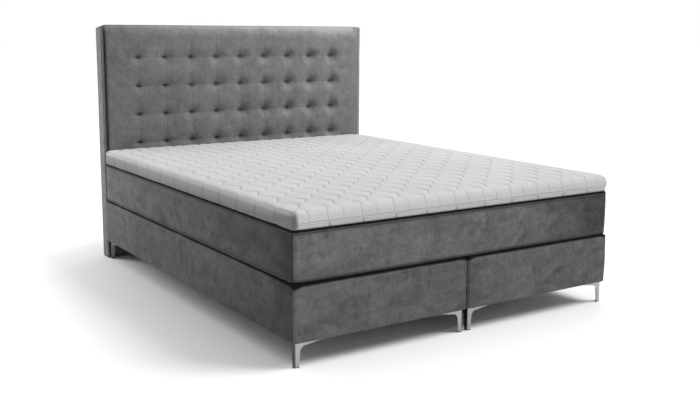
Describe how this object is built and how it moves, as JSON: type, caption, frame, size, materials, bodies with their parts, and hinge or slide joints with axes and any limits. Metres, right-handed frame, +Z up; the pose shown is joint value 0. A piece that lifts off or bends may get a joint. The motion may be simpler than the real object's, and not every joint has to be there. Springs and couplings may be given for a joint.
{
  "type": "upholstered double bed",
  "caption": "Upholstered boxspring bed: tufted velvet headboard standing on the floor, two spring boxes on bent-sheet metal legs, one mattress and a quilted topper.",
  "frame": {"origin": "on the floor under the middle of the whole bed's outline", "axes": "+X across the bed to the right as seen from the foot end, +Y from the foot end to the headboard, +Z up"},
  "size_m": [1.64, 2.078, 1.24],
  "materials": {
    "black_plastic": "satin",
    "edge_tape": "matte",
    "felt": "matte",
    "foam": "matte",
    "leg_metal": "satin",
    "lining": "matte",
    "plywood": "matte",
    "quilted_cover": "matte",
    "spring_unit": "matte",
    "timber": "matte",
    "twine": "matte",
    "velvet": "matte",
    "velvet_cheek": "matte",
    "zinc_steel": "satin",
    "zip_slider": "satin",
    "zip_tape": "matte"
  },
  "bodies": {
    "base": {"box_base_cloth_left": "lining", "box_base_cloth_right": "lining", "box_corner_plates_left": "timber", "box_corner_plates_right": "timber", "box_cover_left": "velvet", "box_cover_right": "velvet", "box_felt_left": "felt", "box_felt_right": "felt", "box_foam_left": "foam", "box_foam_right": "foam", "box_rails_left": "timber", "box_rails_right": "timber", "box_slats_left": "timber", "box_slats_right": "timber", "box_springs_left": "spring_unit", "box_springs_right": "spring_unit", "cheek_cover_left": "velvet_cheek", "cheek_cover_right": "velvet_cheek", "headboard_back_lining": "lining", "headboard_board": "plywood", "headboard_bolts": "zinc_steel", "headboard_cheek_left": "plywood", "headboard_cheek_right": "plywood", "headboard_glides": "black_plastic", "headboard_rails": "timber", "headboard_studs": "timber", "headboard_tee_nuts": "zinc_steel", "join_plates": "zinc_steel", "join_screws": "zinc_steel", "leg_glides": "black_plastic", "leg_left_foot_inner": "leg_metal", "leg_left_foot_outer": "leg_metal", "leg_left_head_inner": "leg_metal", "leg_left_head_outer": "leg_metal", "leg_right_foot_inner": "leg_metal", "leg_right_foot_outer": "leg_metal", "leg_right_head_inner": "leg_metal", "leg_right_head_outer": "leg_metal", "leg_screws": "zinc_steel", "lower_panel_battens": "timber", "lower_panel_board": "plywood", "lower_panel_cover": "velvet", "pad_foam": "foam", "tuft_ties": "twine", "tuft_washers": "black_plastic", "tufted_pad_cover": "velvet"},
    "mattress": {"mattress_cover": "velvet", "mattress_foam_border": "foam", "mattress_foam_lower": "foam", "mattress_foam_upper": "foam", "mattress_springs": "spring_unit", "mattress_tape_lower": "edge_tape", "mattress_tape_upper": "edge_tape"},
    "topper": {"topper_core": "foam", "topper_cover_lower": "quilted_cover", "topper_cover_upper": "quilted_cover", "topper_zip_slider": "zip_slider", "topper_zip_tape": "zip_tape"}
  },
  "joints": [
    {"name": "mattress_lift", "type": "slide", "parent": "base", "child": "mattress", "axis": [0, 0, 1], "range_m": [0, 0.4]},
    {"name": "topper_lift", "type": "slide", "parent": "mattress", "child": "topper", "axis": [0, 0, 1], "range_m": [0, 0.3]}
  ]
}
